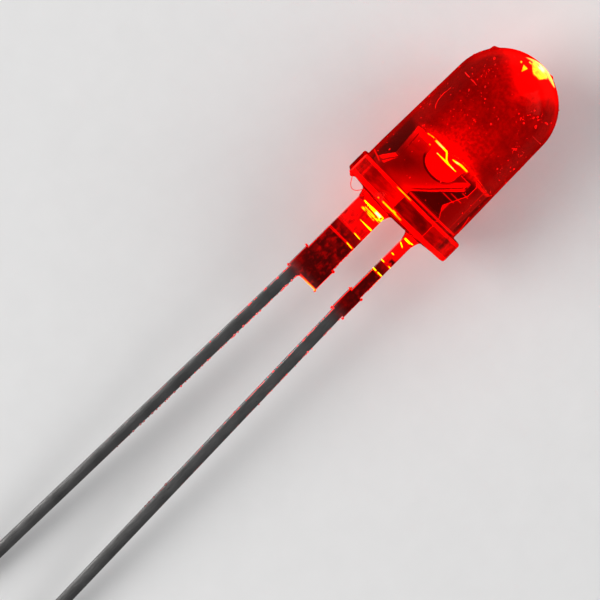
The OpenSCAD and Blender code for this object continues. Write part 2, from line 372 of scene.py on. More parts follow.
def blade_beads(bm, rng, edges):
    """Beads of tin on both edges of a lead's broad part."""
    for x in edges:
        for _ in range(BROAD_BEADS):
            size = rng.uniform(0.014, 0.03)
            at = (x, STRIP_Y - 0.02, rng.uniform(STUB_TOP, BROAD_BEADS_TOP))
            add_grain(bm, at, (size, size, size * 1.6))


def shoulder_burr(bm, rng):
    """The ridge that shearing left along the cathode's shoulder."""
    for corners in zip(RIDGE, RIDGE[1:]):
        start, end = (Vector((x, STRIP_Y - 0.03, SHOULDER_Z + rise)) for x, rise in corners)
        steps = max(2, round((end - start).length / 0.05))
        for i in range(steps):
            size = rng.uniform(0.030, 0.042)
            add_grain(bm, start.lerp(end, i / steps), (size * 1.2, size, size))


def rough_edges(bm, node):
    """Adds the burrs and beads that light up along a lead, as part of its mesh."""
    rng = random.Random(SEEDS[node])
    cathode = node == "cathode_lead"
    side = 1 if cathode else -1
    lean = side * LEAN[node]
    edges = BLADE_X if cathode else STEM_X
    strip_faces = set(bm.faces)
    stub_burrs(bm, rng, (edges[0] - STUB_W, edges[1] + STUB_W))
    if cathode:
        shoulder_burr(bm, rng)
    edge_beads(bm, rng, side * (BLADE_X[1] - STEM_W), lean, INNER_BEADS_END, INNER_SPACING[node])
    edge_beads(bm, rng, side * BLADE_X[1], lean, OUTER_BEADS_END, OUTER_SPACING)
    blade_beads(bm, rng, edges)
    for face in bm.faces:
        if face not in strip_faces:
            face.material_index = BURR


def is_stamped_edge(edge):
    """Whether an edge is on the strip's outline, front or back, and clear of the cup."""
    if edge.calc_face_angle(0) < math.radians(28) or edge.calc_length() < 0.01:
        return False
    on_face = all(abs(abs(v.co.y) - STRIP_Y) < 0.002 for v in edge.verts)
    return on_face and not all(abs(v.co.x) < BOWL_R + 0.02 and v.co.z > RIM_Z - 1.25
                               for v in edge.verts)


def make_steel(node, name, materials):
    """A copy of a CAD lead with its stamped edges rolled over, and its burrs."""
    bm = bmesh.new()
    bm.from_mesh(frame["nodes"][node].data)
    to_lamp = LAMP_TO_ROW.transposed().to_4x4() @ Matrix.Scale(1 / MM, 4)
    bmesh.ops.transform(bm, matrix=to_lamp, verts=bm.verts)
    bmesh.ops.remove_doubles(bm, verts=bm.verts, dist=MERGE)
    bmesh.ops.dissolve_limit(bm, angle_limit=math.radians(1), verts=bm.verts, edges=bm.edges)
    for face in bevel(bm, [e for e in bm.edges if is_stamped_edge(e)], ROLLED_R, 2):
        face.material_index = LEAD_EDGE
    rough_edges(bm, node)
    new_piece(bm, name, materials, replaces=[node])


# ---- Chip, glue and bond wire ----

WIRE_R = 0.02
WIRE_STEPS = 24
BALL = (0.055, 0.055, 0.028)
STITCH = (0.06, 0.045, 0.016)


def make_chip(lit):
    """The chip: a cube with its sawn edges a little worn."""
    low, high = zip(*(span(chip_points, axis) for axis in (X, Y, Z)))
    bm = bmesh.new()
    middle = Matrix.Translation((Vector(low) + Vector(high)) / 2)
    size = Matrix.Diagonal((*(Vector(high) - Vector(low)), 1))
    bmesh.ops.create_cube(bm, size=1, matrix=middle @ size)
    bevel(bm, bm.edges[:], 0.015, 2)
    new_piece(bm, "lit_chip", [lit], replaces=["led_chip"])


def make_glue(silver):
    """A low ring of glue that climbs the chip's sides unevenly."""
    low, high = span(glue_points, Z)
    reach = span(glue_points, X)[1]
    chip_half = span(chip_points, X)[1]
    bm = bmesh.new()
    chain(bm, [(0, low), (reach, low), (reach * 0.96, low + 0.008), (chip_half * 1.45, low + 0.02),
               (chip_half * 1.3, high), (0, high - 0.02)])
    spin_round(bm, 48)
    for v in bm.verts:
        if v.co.z > low + 0.005:
            v.co.z += 0.012 * noise.noise(Vector((9 * v.co.x, 9 * v.co.y, 1)))
    new_piece(bm, "glue_pool", [silver], replaces=["chip_glue"])


def bond_path():
    """The wire's centre line: up from the ball, over the loop and down to the post."""
    chip_top = span(chip_points, Z)[1]
    loop_top = span(wire_points, Z)[1] - 0.02
    stitch_x = span(wire_points, X)[0] + 0.06
    ends = [Vector((0, 0, chip_top + 0.03)), Vector((0, 0, loop_top + 0.06)),
            Vector((-0.35, 0, loop_top + 0.03)), Vector((stitch_x, 0, POST_Z + 0.012))]
    points = []
    for i in range(WIRE_STEPS + 1):
        t = i / WIRE_STEPS
        weights = ((1 - t) ** 3, 3 * t * (1 - t) ** 2, 3 * t * t * (1 - t), t ** 3)
        points.append(sum((w * p for w, p in zip(weights, ends)), Vector()))
    return points


def make_wire(gold):
    """The bond wire, drawn round, with its ball on the chip and its stitch on the post."""
    bm = bmesh.new()
    path = bond_path()
    add_tube(bm, path, WIRE_R, sides=12)
    add_grain(bm, (0, 0, span(chip_points, Z)[1] + 0.018), BALL, detail=3)
    add_grain(bm, path[-1] - Vector((0, 0, 0.004)), STITCH, detail=3)
    new_piece(bm, "gold_bond_wire", [gold], replaces=["bond_wire"])


# ---- Dust, scratches and a stray thread ----

DUST_SEED = 5
GRAINS = 230
DUST_LOW = 1.3            # dust keeps clear of the flange and of the tip
DUST_HIGH = 8.3
FINE_DUST_HIGH = 8.1
DUST_PATCHES = (          # angle round the axis in degrees, height, spread in degrees, grains
    (114, 6.6, 5, 16), (129, 7.0, 3, 9), (128, 5.4, 3, 9), (134, 4.9, 8, 9),
    (52, 6.8, 4, 9), (53, 7.4, 7, 11), (42, 7.1, 4, 5), (77, 5.0, 5, 6), (71, 6.2, 6, 5),
    (83, 4.6, 16, 20), (54, 5.9, 5, 5), (24, 4.2, 5, 6), (143, 5.2, 5, 7), (150, 4.2, 6, 7),
    (210, 6.0, 12, 20), (250, 3.5, 15, 20), (300, 6.5, 14, 20), (335, 4.0, 12, 16))
SCRATCHES = (             # width, then points on the lens: angle round the axis, and height
    (0.026, (29, 6.22), (35, 6.20), (40, 6.21)), (0.024, (43, 6.19), (48, 6.20), (53, 6.18)),
    (0.016, (31, 5.36), (29.5, 4.98), (31, 4.65), (34, 4.43), (37.5, 4.31)),
    (0.010, (134, 6.33), (145, 6.32), (158, 6.34)), (0.022, (137, 7.08), (140, 7.11), (143, 7.10)),
    (0.016, (205, 5.1), (208, 5.6), (212, 6.0)), (0.016, (290, 6.4), (296, 6.6), (299, 6.9)))
SCRATCH_LIFT = 0.004
SCRATCH_STEPS = 4         # between one point and the next
THREAD_R = 0.016
THREAD_ENDS = (Vector((2.36, 0.9, -0.08)), Vector((1.64, 0.5, -0.20)))
THREAD_SAG = 1.35
THREAD_STEPS = 16


def on_lens(angle, z, lift=0.0):
    """A point on the lens's skin at an angle in degrees and a height."""
    r = lens_radius(z) + lift
    return Vector((r * math.cos(math.radians(angle)), r * math.sin(math.radians(angle)), z))


def dust_places(rng):
    """Angles, heights and sizes for the grains: fine ones all over, coarser ones in patches."""
    for _ in range(GRAINS):
        angle, z = rng.uniform(0, 360), rng.uniform(DUST_LOW, FINE_DUST_HIGH)
        yield angle, z, 0.014 + 0.022 * rng.random() ** 2
    for angle, z, spread, grains in DUST_PATCHES:
        for _ in range(grains):
            size = 0.016 + 0.034 * rng.random() ** 3
            yield rng.gauss(angle, spread), rng.gauss(z, spread * 0.045), size


def scratch_path(bends):
    """Points close along the lens's skin through a scratch's bends."""
    path = []
    for (a0, z0), (a1, z1) in zip(bends, bends[1:]):
        for i in range(SCRATCH_STEPS):
            t = i / SCRATCH_STEPS
            path.append(on_lens(a0 + (a1 - a0) * t, z0 + (z1 - z0) * t, SCRATCH_LIFT))
    return path + [on_lens(*bends[-1], SCRATCH_LIFT)]


def make_dust(dust):
    """Grains of dust that stick to the lens, half sunk in its skin, and fine scratches."""
    rng = random.Random(DUST_SEED)
    bm = bmesh.new()
    for angle, z, size in dust_places(rng):
        at = on_lens(angle, min(DUST_HIGH, max(DUST_LOW, z)))
        shape = (size, size * rng.uniform(0.6, 1), size * rng.uniform(1, 1.8))
        turn = Matrix.Rotation(rng.uniform(0, math.pi), 4, at.normalized())
        add_grain(bm, at, shape, turn)
    for width, *bends in SCRATCHES:
        add_tube(bm, scratch_path(bends), width, sides=4)
    new_piece(bm, "lens_dust", [dust])


def make_thread(resin):
    """A stray thread of resin that hangs in an arc below the flange, by the flat."""
    bm = bmesh.new()
    path = []
    for i in range(THREAD_STEPS + 1):
        t = i / THREAD_STEPS
        drop = Vector((0, 0, THREAD_SAG * t * (1 - t)))
        path.append(THREAD_ENDS[0].lerp(THREAD_ENDS[1], t) - drop)
    add_tube(bm, path, THREAD_R, sides=8)
    new_piece(bm, "resin_thread", [resin])


# ---- Materials: making them ----

MIX_COLORS = (6, 7)       # the sockets where a Mix node takes its two colours,
MIX_RESULT = 2            # and the one that gives the mixed colour
YELLOW = 1.3              # red over green in the hottest yellow


def is_socket(value):
    """Whether a value is another node's output, and not a constant."""
    return isinstance(value, bpy.types.NodeSocket)


class Finish:
    """A material under construction, with short ways to add and join its nodes."""

    def __init__(self, name):
        """Starts with one surface shader, and the object's own coordinates."""
        self.material = bpy.data.materials.new(name)
        self.material.use_nodes = True
        self.nodes = self.material.node_tree.nodes
        self.links = self.material.node_tree.links
        self.nodes.clear()
        self.output = self.nodes.new("ShaderNodeOutputMaterial")
        self.shader = self.nodes.new("ShaderNodeBsdfPrincipled")
        self.links.new(self.shader.outputs[0], self.output.inputs["Surface"])
        self.space = self.nodes.new("ShaderNodeTexCoord").outputs["Object"]

    def set(self, node, socket, value):
        """Joins a socket to another node's output, or sets it to a constant."""
        if is_socket(value):
            self.links.new(value, node.inputs[socket])
        else:
            node.inputs[socket].default_value = value

    def skin(self, **values):
        """Sets the surface shader's sockets, named with underscores for spaces."""
        for name, value in values.items():
            self.set(self.shader, name.replace("_", " "), value)

    def math(self, operation, *values, clamp=False):
        """One step of arithmetic."""
        node = self.nodes.new("ShaderNodeMath")
        node.operation = operation
        node.use_clamp = clamp
        for i, value in enumerate(values):
            self.set(node, i, value)
        return node.outputs[0]

    def run(self, operation, values):
        """One operation run through all the values from the first to the last."""
        total = values[0]
        for value in values[1:]:
            total = self.math(operation, total, value)
        return total

    def add(self, *values):
        """The sum of the values."""
        return self.run("ADD", values)

    def times(self, *values):
        """The product of the values."""
        return self.run("MULTIPLY", values)

    def most(self, *values):
        """The largest of the values."""
        return self.run("MAXIMUM", values)

    def minus(self, value, less):
        """The difference of two values."""
        return self.math("SUBTRACT", value, less)

    def above(self, value, level):
        """How far a value is above a level, and zero below it."""
        return self.most(self.minus(value, level), 0.0)

    def away(self, value, place):
        """How far a value is from a place, on either side."""
        return self.math("ABSOLUTE", self.minus(value, place))

    def length(self, across, up):
        """The length of a line that goes so far across and so far up."""
        return self.math("SQRT", self.add(self.times(across, across), self.times(up, up)))

    def without(self, value, share=1.0):
        """One less a share of the value."""
        return self.minus(1.0, self.times(value, share))

    def noise(self, scale, detail=2.0, stretch=(1, 1, 1), shift=(0, 0, 0)):
        """Noise about 0.5, stretched along the axes whose factor is small."""
        mapping = self.nodes.new("ShaderNodeMapping")
        self.links.new(self.space, mapping.inputs["Vector"])
        mapping.inputs["Scale"].default_value = stretch
        mapping.inputs["Location"].default_value = shift
        node = self.nodes.new("ShaderNodeTexNoise")
        self.links.new(mapping.outputs[0], node.inputs["Vector"])
        node.inputs["Scale"].default_value = scale
        node.inputs["Detail"].default_value = detail
        return node.outputs["Fac"]

    def ease(self, value, start, end, low=0.0, high=1.0):
        """Runs smoothly from low to high as the value goes from start to end."""
        node = self.nodes.new("ShaderNodeMapRange")
        node.interpolation_type = "SMOOTHSTEP"
        self.set(node, "Value", value)
        if start > end:
            start, end, low, high = end, start, high, low
        node.inputs["From Min"].default_value = start
        node.inputs["From Max"].default_value = end
        self.set(node, "To Min", low)
        self.set(node, "To Max", high)
        return node.outputs[0]

    def line(self, value, at, half_width, soft):
        """One where the value is near a place, easing to zero past the half width."""
        away = self.away(value, at)
        if is_socket(half_width):
            return self.ease(self.minus(away, half_width), soft, 0.0)
        return self.ease(away, half_width + soft, half_width)

    def between(self, value, low, high, soft):
        """One where the value lies between two places, easing to zero outside."""
        return self.times(self.ease(value, low - soft, low), self.ease(value, high + soft, high))

    def mix_color(self, factor, first, last):
        """Goes from the first colour to the last as the factor goes from zero to one."""
        node = self.nodes.new("ShaderNodeMix")
        node.data_type = "RGBA"
        self.links.new(factor, node.inputs["Factor"])
        for socket, color in zip(MIX_COLORS, (first, last)):
            self.set(node, socket, color if is_socket(color) else (*color, 1))
        return node.outputs[MIX_RESULT]

    def bump(self, height, distance):
        """Roughens the surface by a height of up to one, taken over a distance in millimetres."""
        node = self.nodes.new("ShaderNodeBump")
        self.links.new(height, node.inputs["Height"])
        node.inputs["Distance"].default_value = distance * MM
        self.links.new(node.outputs[0], self.shader.inputs["Normal"])

    def share(self, value, whole):
        """The value over a constant, which stays a constant where the value is one."""
        return self.math("DIVIDE", value, whole) if is_socket(value) else value / whole

    def glow(self, red, hot=0.0, white=0.0, *, strength):
        """Red light, with yellow where it runs hot and white in the hottest places."""
        color = self.nodes.new("ShaderNodeCombineColor")
        self.set(color, "Red", self.share(self.add(red, hot), strength))
        self.set(color, "Green", self.share(hot, strength * YELLOW))
        self.set(color, "Blue", self.share(white, strength))
        self.links.new(color.outputs[0], self.shader.inputs["Emission Color"])
        self.shader.inputs["Emission Strength"].default_value = strength


class LampFinish(Finish):
    """A finish for the lamp's own pieces, measured in the lamp's frame, in millimetres."""

    def __init__(self, name):
        """Turns and scales the object's coordinates, and takes x, y and z from them."""
        super().__init__(name)
        mapping = self.nodes.new("ShaderNodeMapping")
        mapping.vector_type = "TEXTURE"
        self.links.new(self.space, mapping.inputs["Vector"])
        mapping.inputs["Rotation"].default_value = LAMP_TO_ROW.to_euler()
        mapping.inputs["Scale"].default_value = (MM, MM, MM)
        self.space = mapping.outputs[0]
        axes = self.nodes.new("ShaderNodeSeparateXYZ")
        self.links.new(self.space, axes.inputs[0])
        self.x, self.y, self.z = axes.outputs

    def spots(self, *rows):
        """The brightest of some spots: place, half width and softness in x and in z, and weight."""
        return self.most(*(self.times(self.line(self.x, *across), self.line(self.z, *up), weight)
                           for across, up, weight in rows))


# ---- Materials: the resin ----

RESIN_GLOW = 4.0
RED_GAIN = 1.08
GLINT_GLOW = 3.8
FLANGE_TOP_EDGE = FLANGE_H - 0.05
FLANGE_LOW_EDGE = 0.07
CUP_SIDE = 0.15           # how far the halo's middle lies to the flat's side of the lens axis
HALO_FOOT = 3.1           # where the halo over the cup begins
CAP_FOOT = 6.5            # where the bright cap begins, on the lens axis
TIP_ARC_R = 1.51          # the hot tip's upper outline is an arc
TIP_ARC_Z = LENS_H - 1.5  # the height of that arc's centre
TIP_FOOT = 8.4            # how low the hot crescent reaches
BULGE_FOOT = 8.11         # how low its bulge hangs
SILL_Z = 1.14             # height of the line of light just over the flange
LEVEL_LINES = (           # as rows for spots(): that line, and three over the gap
    ((-1.03, 1.31, 0.06), (SILL_Z, 0.04, 0.02), 0.85),
    ((-1.44, 0.14, 0.06), (2.63, 0.015, 0.025), 0.75),
    ((-1.23, 0.25, 0.10), (2.30, 0.015, 0.025), 0.75),
    ((-0.98, 0.28, 0.08), (2.09, 0.015, 0.025), 0.75))
TIP_WHITE = ((-0.05, 0.06, 0.18), (8.56, 0.03, 0.09), 1.0)
TIP_DOTS = (
    ((0.78, 0.025, 0.02), (8.15, 0.025, 0.02), 1.0),
    ((0.46, 0.05, 0.04), (8.395, 0.02, 0.02), 1.0))
FLANGE_GLINTS = (
    ((0.47, 0.2, 0.25), (FLANGE_TOP_EDGE, 0.012, 0.02), 1.0),
    ((0.23, 0.05, 0.06), (0.14, 0.012, 0.035), 1.0),
    ((1.09, 0.015, 0.03), (0.09, 0.01, 0.02), 0.7))


def clear_resin():
    """Deep red cast epoxy that glows: clear inside, with the lit cup's light in its skin."""
    f = LampFinish("clear_red_resin")
    mottle = f.noise(0.9, 4.0)
    fine = f.noise(5.0, 3.0)
    fray = f.times(f.minus(fine, 0.5), 0.5)
    f.skin(Base_Color=(1.0, 0.62, 0.56, 1), Transmission_Weight=1.0, IOR=1.54,
           Specular_Tint=(0.30, 0.09, 0.08, 1), Roughness=f.ease(fine, 0.3, 0.7, 0.02, 0.06),
           Coat_IOR=1.0, Coat_Roughness=0.03, Coat_Tint=(0.92, 0.30, 0.26, 1))
    f.bump(f.add(mottle, f.times(fine, 0.15)), 0.01)
    absorb = f.nodes.new("ShaderNodeVolumeAbsorption")
    absorb.inputs["Color"].default_value = (0.83, 0.48, 0.0, 1)
    absorb.inputs["Density"].default_value = 2600
    f.links.new(absorb.outputs[0], f.output.inputs["Volume"])
    tip = tip_light(f, fray)
    f.skin(Coat_Weight=f.math("SUBTRACT", 1.0, tip, clamp=True))
    red = f.add(barrel_light(f, mottle), dome_light(f, fray), stray_lines(f), flange_light(f, fine))
    hot = f.add(f.times(tip, f.ease(fine, 0.3, 0.65, 0.75, 1.5)), yellow_glints(f, fine))
    white = f.times(tip, f.spots(TIP_WHITE), f.ease(fine, 0.3, 0.6, 0.3, 0.7))
    f.glow(f.times(red, RED_GAIN), hot, white, strength=RESIN_GLOW)
    return f.material


def barrel_light(f, mottle):
    """The speckled glow in the barrel, in its sides and underside, and over the cup."""
    aside = f.away(f.x, CUP_SIDE)
    body = f.times(f.ease(f.z, 2.8, 4.4, 0.015, 0.30), f.ease(aside, 0.3, 2.3, 1.0, 0.4),
                   f.ease(mottle, 0.3, 0.7, 0.66, 1.34))
    sides = f.most(f.ease(f.x, 2.30, 2.44, 0.0, 0.25), f.ease(f.x, -2.26, -2.40, 0.0, 0.38))
    underside = f.ease(f.z, 0.02, -0.06, 0.0, 0.30)
    speckled = f.ease(f.noise(7.0), 0.32, 0.7, 0.7, 1.35)
    return f.times(f.add(body, sides, underside, cup_halo(f, aside)), speckled)


def cup_halo(f, aside):
    """The halo over the cup: a low bright bank, and a fainter plume over its middle."""
    spread = f.add(aside, f.times(f.above(f.z, HALO_FOOT + 0.3), 1.5))
    bank = f.times(f.ease(f.z, HALO_FOOT, HALO_FOOT + 0.3), f.ease(f.z, 4.1, 3.5),
                   f.ease(spread, 2.1, 1.3), 0.62)
    plume = f.times(f.ease(f.z, HALO_FOOT + 0.2, 3.8), f.ease(f.z, 5.5, 3.8),
                    f.ease(aside, 1.5, 0.1), 0.38)
    return f.add(bank, plume)


def dome_light(f, fray):
    """The dome's bright cap, and the light along its outline."""
    cap_edge = f.add(CAP_FOOT, f.times(f.away(f.x, 0.0), 0.62), fray)
    cap = f.ease(f.minus(f.z, cap_edge), 0.0, 1.1, 0.0, 0.9)
    up = f.minus(f.z, DOME_Z)
    limb = f.times(f.ease(f.length(f.x, up), DOME_R - 0.34, DOME_R - 0.14),
                   f.ease(up, 0.1, 0.8), 0.34)
    return f.add(cap, limb)


def stray_lines(f):
    """Thin lines of light that the barrel throws back in front of the gap and at its sides."""
    flank_x = f.add(-2.26, f.times(f.minus(f.z, 2.1), 0.27))
    flank = f.times(f.line(f.x, flank_x, 0.02, 0.02), f.between(f.z, 1.35, 2.1, 0.05), 0.8)
    foot_z = f.add(SILL_Z, f.times(f.minus(f.x, 2.0), 0.38))
    foot = f.times(f.line(f.z, foot_z, 0.025, 0.03), f.ease(f.x, 1.98, 2.12), 0.75)
    return f.times(f.most(f.spots(*LEVEL_LINES), flank, foot), f.ease(f.y, 0.2, 0.5))


def tip_light(f, fray):
    """Where the dome's tip is hot: a drawn-out shape in front, a plain round spot behind."""
    front = f.times(f.most(tip_cap(f, fray), tip_spots(f)), f.ease(f.y, -0.3, -0.15))
    behind = f.times(f.ease(f.z, 8.42, 8.60), f.ease(f.y, -0.15, -0.3))
    return f.most(front, behind)


def tip_cap(f, fray):
    """The hot crescent at the dome's tip, with a bulge that hangs from its middle."""
    aside = f.away(f.x, -0.10)
    arc = f.math("SQRT", f.above(TIP_ARC_R ** 2, f.times(aside, aside)))
    under_arc = f.ease(f.minus(f.z, arc), TIP_ARC_Z, TIP_ARC_Z - 0.04)
    low_edge = f.add(f.ease(aside, 0.3, 0.95, 0.085, 0.0), f.ease(f.x, -0.9, 0.6, -0.05, 0.0))
    crescent = f.ease(f.minus(f.z, low_edge), TIP_FOOT, TIP_FOOT + 0.05)
    bulge_edge = f.add(BULGE_FOOT, f.ease(f.away(f.x, -0.05), 0.15, 0.48, 0.0, 0.27),
                       f.times(fray, 0.3))
    bulge = f.times(f.ease(f.minus(f.z, bulge_edge), 0.0, 0.08), f.line(f.x, -0.04, 0.40, 0.1))
    return f.times(under_arc, f.most(crescent, bulge))


def tip_spots(f):
    """A small wedge, a dot and a dash of light beside the tip's hot cap."""
    wedge = f.times(f.between(f.z, 7.90, 8.13, 0.03),
                    f.line(f.x, 0.52, f.ease(f.z, 7.85, 8.18, 0.0, 0.1), 0.03))
    return f.times(f.most(wedge, f.spots(*TIP_DOTS)), 0.9)


def flange_light(f, fine):
    """Light that gathers in the flange: along its corners, at the flat and in its middle."""
    corners = f.most(f.line(f.z, FLANGE_TOP_EDGE, 0.075, 0.05),
                     f.line(f.z, FLANGE_LOW_EDGE, 0.13, 0.06))
    edge_view = f.times(f.line(f.x, 2.18, 0.03, 0.03), f.ease(f.y, 0.3, 0.6), 0.5)
    flat_ends = f.times(f.ease(f.x, FLAT_X - 0.12, FLAT_X - 0.04),
                        f.most(f.ease(f.y, -0.75, -1.0), f.ease(f.y, 0.95, 1.15)))
    lines = f.times(f.most(corners, flat_ends, edge_view), f.ease(fine, 0.25, 0.7, 0.55, 1.0))
    blotch = f.ease(f.noise(2.4, 3.0, stretch=(0.6, 1, 2)), 0.36, 0.64, 0.07, 0.36)
    on_flange = f.ease(f.length(f.x, f.y), LENS_R + 0.02, LENS_R + 0.14)
    return f.times(f.add(lines, blotch), on_flange)


def yellow_glints(f, fine):
    """Yellow glints on the flange's corners in front of the blade, and one beside the cup."""
    tail = f.times(f.line(f.z, f.ease(f.x, 1.5, 1.2, 3.37, 3.42), 0.008, 0.018),
                   f.between(f.x, 1.18, 1.46, 0.03), 0.8)
    lower = f.times(f.line(f.z, f.ease(f.x, 0.02, 0.22, 0.09, 0.105), 0.018, 0.025),
                    f.line(f.x, 0.33, 0.46, 0.12))
    return f.times(f.most(f.spots(*FLANGE_GLINTS), lower, tail), f.ease(f.y, 0.0, 0.5),
                   f.ease(fine, 0.3, 0.55, 0.45, 1.0), GLINT_GLOW)


def dust_look():
    """Pale dust and scratches, red with the lens's own light."""
    f = LampFinish("lit_dust")
    fine = f.noise(9.0)
    patchy = f.noise(2.3, 1.0)
    f.skin(Base_Color=f.mix_color(fine, (0.30, 0.001, 0.001), (0.45, 0.004, 0.002)),
           Roughness=0.8, Specular_IOR_Level=0.1)
    f.glow(f.times(f.ease(fine, 0.2, 0.8, 0.8, 1.2), f.ease(patchy, 0.35, 0.6, 0.5, 1.5)),
           strength=2.0)
    return f.material


# ---- Materials: the lead frame ----

STEEL_GLOW = 78.0
RIM_GLOW = 75.0           # the cup's hot rim shines through all of the resin in front of it
BOWL_MIDDLE = RIM_Z - 0.62                   # the cup's outline on the strip's faces is a U
BOWL_FACE = math.sqrt((BOWL_R - 0.05) ** 2 - STRIP_Y ** 2)      # with this half width
NOTCH_SQUARE = 0.84       # turns a distance along X into one square to the notch's edge
COIN_TOP = -1.75          # the coined band across both leads
COIN_FOOT = -2.24
# Patches where the painted spill light on the leads is dimmed.
SPILL_DIM_PATCHES = (                  # from and to along X, height, half height, softness and weight
    (0.7, 1.3, -1.42, 0.12, 0.12, 1.0), (-1.20, -1.34, -1.50, 0.03, 0.16, 1.3),
    (1.0, 1.2, -0.42, 0.06, 0.10, 1.0))
FINE_STREAKS = (          # streaks: height, half height, middle, half width and slope
    (-0.655, 0.012, 0.62, 0.36, 0.03), (-0.71, 0.016, 0.62, 0.44, -0.02),
    (-0.775, 0.014, 0.75, 0.32, 0.05))
COIN_STREAKS = ((COIN_TOP, 0.014, 0.40, 0.12, 0.08), (COIN_FOOT - 0.01, 0.014, 0.36, 0.10, 0.08))
STEM_STREAKS = (
    (-0.41, 0.035, -1.22, 0.10, 0.0), (-0.40, 0.014, -1.34, 0.10, -0.25),
    (-0.70, 0.018, -1.15, 0.05, 0.5), (-1.22, 0.014, -1.16, 0.0, 0.0),
    (-1.72, 0.014, -1.06, 0.03, 0.0), (-1.72, 0.014, -1.49, 0.02, 0.0),
    (-2.21, 0.022, -1.07, 0.04, 0.0), (-2.21, 0.018, -1.38, 0.06, 0.0))
EYE = (0.22, -0.54)       # x and height of the ring at the end of the blade's broadest streak
SHOULDER_LINE = ((0.505, 0.445, 0.06), (SHOULDER_Z + 0.02, 0.015, 0.02), 0.9)
BURR_LINE = ((0.55, 0.45, 0.1), (SHOULDER_Z, 0.06, 0.02), 1.0)
BLADE_WHITE = ((0.42, 0.08, 0.12), (-0.50, 0.03, 0.04), 0.5)
RIM_WHITES = ((0.47, 0.06, 0.10), (-0.25, 0.03, 0.06), (-0.66, 0.01, 0.04))
# A painted glint: a small dot on the cup's collar.
RIM_GLINT_DOT = ((0.68, 0.015, 0.02), (RIM_Z - 0.33, 0.012, 0.015), 0.6)


def steel_look(f):
    """Dull steel drawn along the leads, painted dark as shade, with the lens's red light painted
    into its colour close to the lens.
    """
    streak = f.noise(4.0, 4.0, stretch=(6, 6, 0.5))
    stain = f.noise(1.1, 4.0, shift=(4, 0, 0))
    pits = f.noise(14.0)
    # Painted shade: the steel's colour is kept far darker than tinned steel's own silver.
    shade_darkened_steel = f.mix_color(stain, (0.062, 0.060, 0.059), (0.15, 0.147, 0.144))
    # Painted red light: close under the lens the colour turns dark red.
    f.skin(Base_Color=f.mix_color(f.ease(f.z, -5.3, -4.1), shade_darkened_steel, (0.11, 0.003, 0.003)),
           Metallic=1.0, Roughness=f.ease(streak, 0.2, 0.8, 0.26, 0.46))
    f.bump(f.add(streak, f.times(pits, 0.6)), 0.006)


def strip_steel():
    """The lead frame's faces: steel, lit red by the cup near and above the flange."""
    f = LampFinish("tinned_steel_lit")
    steel_look(f)
    patches = f.noise(2.2, 3.0)
    red = f.add(anvil_light(f, patches), f.times(spill_light(f, patches), 0.95),
                faint_glow(f, patches), side_flare(f, patches), f.spots(SHOULDER_LINE))
    streaks = f.times(lead_streaks(f), f.ease(f.z, -0.62, -0.46, 2.2, 12.0))
    rim = f.times(rim_light(f), RIM_GLOW)
    rim_white = f.most(*(f.line(f.x, *across) for across in RIM_WHITES))
    white = f.add(f.times(streaks, f.spots(BLADE_WHITE)), f.times(rim, rim_white, 1.3))
    f.glow(red, f.add(streaks, rim), white, strength=STEEL_GLOW)
    return f.material


def anvil_light(f, patches):
    """Light on the anvil and the post, inside the resin."""
    inside = f.ease(f.z, -0.1, 0.4)
    from_bowl = f.length(f.x, f.above(BOWL_MIDDLE, f.z))
    face = f.times(f.ease(f.z, 2.0, 3.3, 0.51, 2.25), f.ease(patches, 0.3, 0.7, 0.8, 1.2))
    lit = f.times(inside, f.add(face, notch_light(f, from_bowl)), anvil_shade(f, from_bowl))
    bowl = f.times(f.ease(from_bowl, BOWL_FACE + 0.02, BOWL_FACE - 0.03),
                   f.ease(f.z, 1.9, 2.3), 2.6)
    seam = f.times(f.line(from_bowl, BOWL_FACE + 0.045, 0.02, 0.03), f.ease(f.z, 2.8, 2.6),
                   f.ease(f.x, -0.5, -0.1, 0.3, 1.0))
    cathode = f.times(f.add(lit, bowl), f.without(seam, 0.95), f.ease(f.x, -0.96, -0.90, 0.17, 1.0))
    post_top = f.times(f.line(f.z, POST_Z - 0.08, 0.04, 0.04), f.ease(f.x, -1.0, -1.1), 1.6)
    anvil_top = f.times(f.line(f.z, RIM_Z - 0.2, 0.08, 0.1), f.ease(f.x, 0.5, 0.8), 2.2)
    return f.add(cathode, post_top, anvil_top)


def notch_distance(f):
    """How far the steel reaches in from the anvil's slanted edge along the notch."""
    edge = f.minus(BLADE_X[0], f.times(f.above(f.z, NOTCH_Z), NOTCH_SLOPE))
    return f.times(f.minus(f.x, edge), NOTCH_SQUARE)


def notch_light(f, from_bowl):
    """Light that spreads in from the notch's edge, but not over the cup's outline."""
    from_edge = notch_distance(f)
    spread = f.add(f.ease(from_edge, 1.05, 0.1, 0.0, 1.5), f.ease(from_edge, 0.35, 0.02, 0.0, 1.3))
    return f.times(spread, f.ease(f.z, 3.1, 2.5, 0.2, 1.0),
                   f.ease(from_bowl, BOWL_FACE, BOWL_FACE + 0.06))


def anvil_shade(f, from_bowl):
    """What the groove along the notch and the dark corner by the cup leave of the light."""
    groove = f.times(f.line(notch_distance(f), 0.085, 0.012, 0.02), f.ease(f.z, 1.1, 1.4), 0.8)
    corner = f.times(f.ease(f.add(f.x, f.times(f.z, 0.7)), 1.25, 1.30), f.ease(f.x, -0.49, -0.55),
                     f.ease(from_bowl, BOWL_FACE, BOWL_FACE + 0.04))
    return f.times(f.without(groove), f.without(corner, 0.72))


